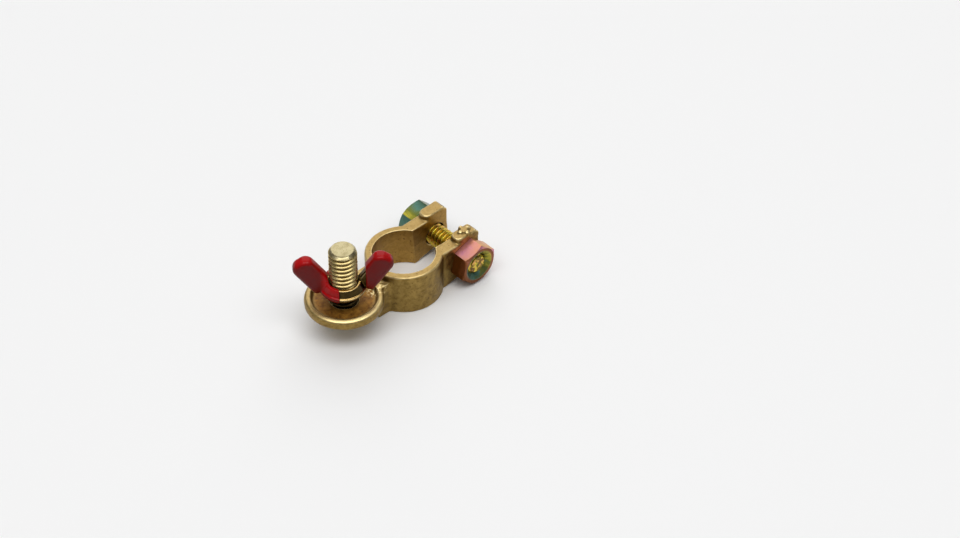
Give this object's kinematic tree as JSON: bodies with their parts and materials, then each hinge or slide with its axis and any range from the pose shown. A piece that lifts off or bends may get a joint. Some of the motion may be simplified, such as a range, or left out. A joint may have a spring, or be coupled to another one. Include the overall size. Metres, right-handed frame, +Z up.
{
  "type": "battery terminal clamp",
  "caption": "Cast brass battery post clamp: split ring drawn shut by a pinch bolt across its ears, and a round pad with a threaded stud and a wing nut for the cable lug.",
  "frame": {"origin": "centre of the post bore at the ring's top face, where the narrow end of the bore comes flush with the post", "axes": "+X from the bore to the ears, +Z up along the post, +Y towards the bolt's head"},
  "size_m": [0.0559, 0.027, 0.0278],
  "materials": {
    "cast_brass": "tumbled casting, satin",
    "stud_brass": "rolled thread, bright",
    "nut_brass": "satin",
    "red_vinyl": "gloss, soft edges",
    "bolt_steel": "yellow chromate, iridescent",
    "nut_steel": "yellow chromate, iridescent"
  },
  "bodies": {
    "clamp": {"clamp_body": "cast_brass", "terminal_stud": "stud_brass"},
    "wing_nut": {"wing_nut": "nut_brass", "wing_cover_left": "red_vinyl", "wing_cover_right": "red_vinyl"},
    "pinch_bolt": {"pinch_bolt": "bolt_steel"},
    "pinch_nut": {"pinch_nut": "nut_steel"}
  },
  "joints": [
    {"name": "wing_nut_turn", "type": "hinge", "parent": "clamp", "child": "wing_nut", "pos_m": [-0.0221, 0, 0], "axis": [0, 0, 1], "continuous": true},
    {"name": "pinch_nut_turn", "type": "hinge", "parent": "clamp", "child": "pinch_nut", "pos_m": [0.016, -0.0085, -0.00645], "axis": [0, -1, 0], "range_deg": [0, 721]},
    {"name": "pinch_bolt_slide", "type": "slide", "parent": "clamp", "child": "pinch_bolt", "axis": [0, 1, 0], "range_m": [0, 0.00254]}
  ],
  "couplings": [
    {"joint": "pinch_nut_turn", "follows": "pinch_bolt_slide", "rad_per_m": 4947.4}
  ]
}
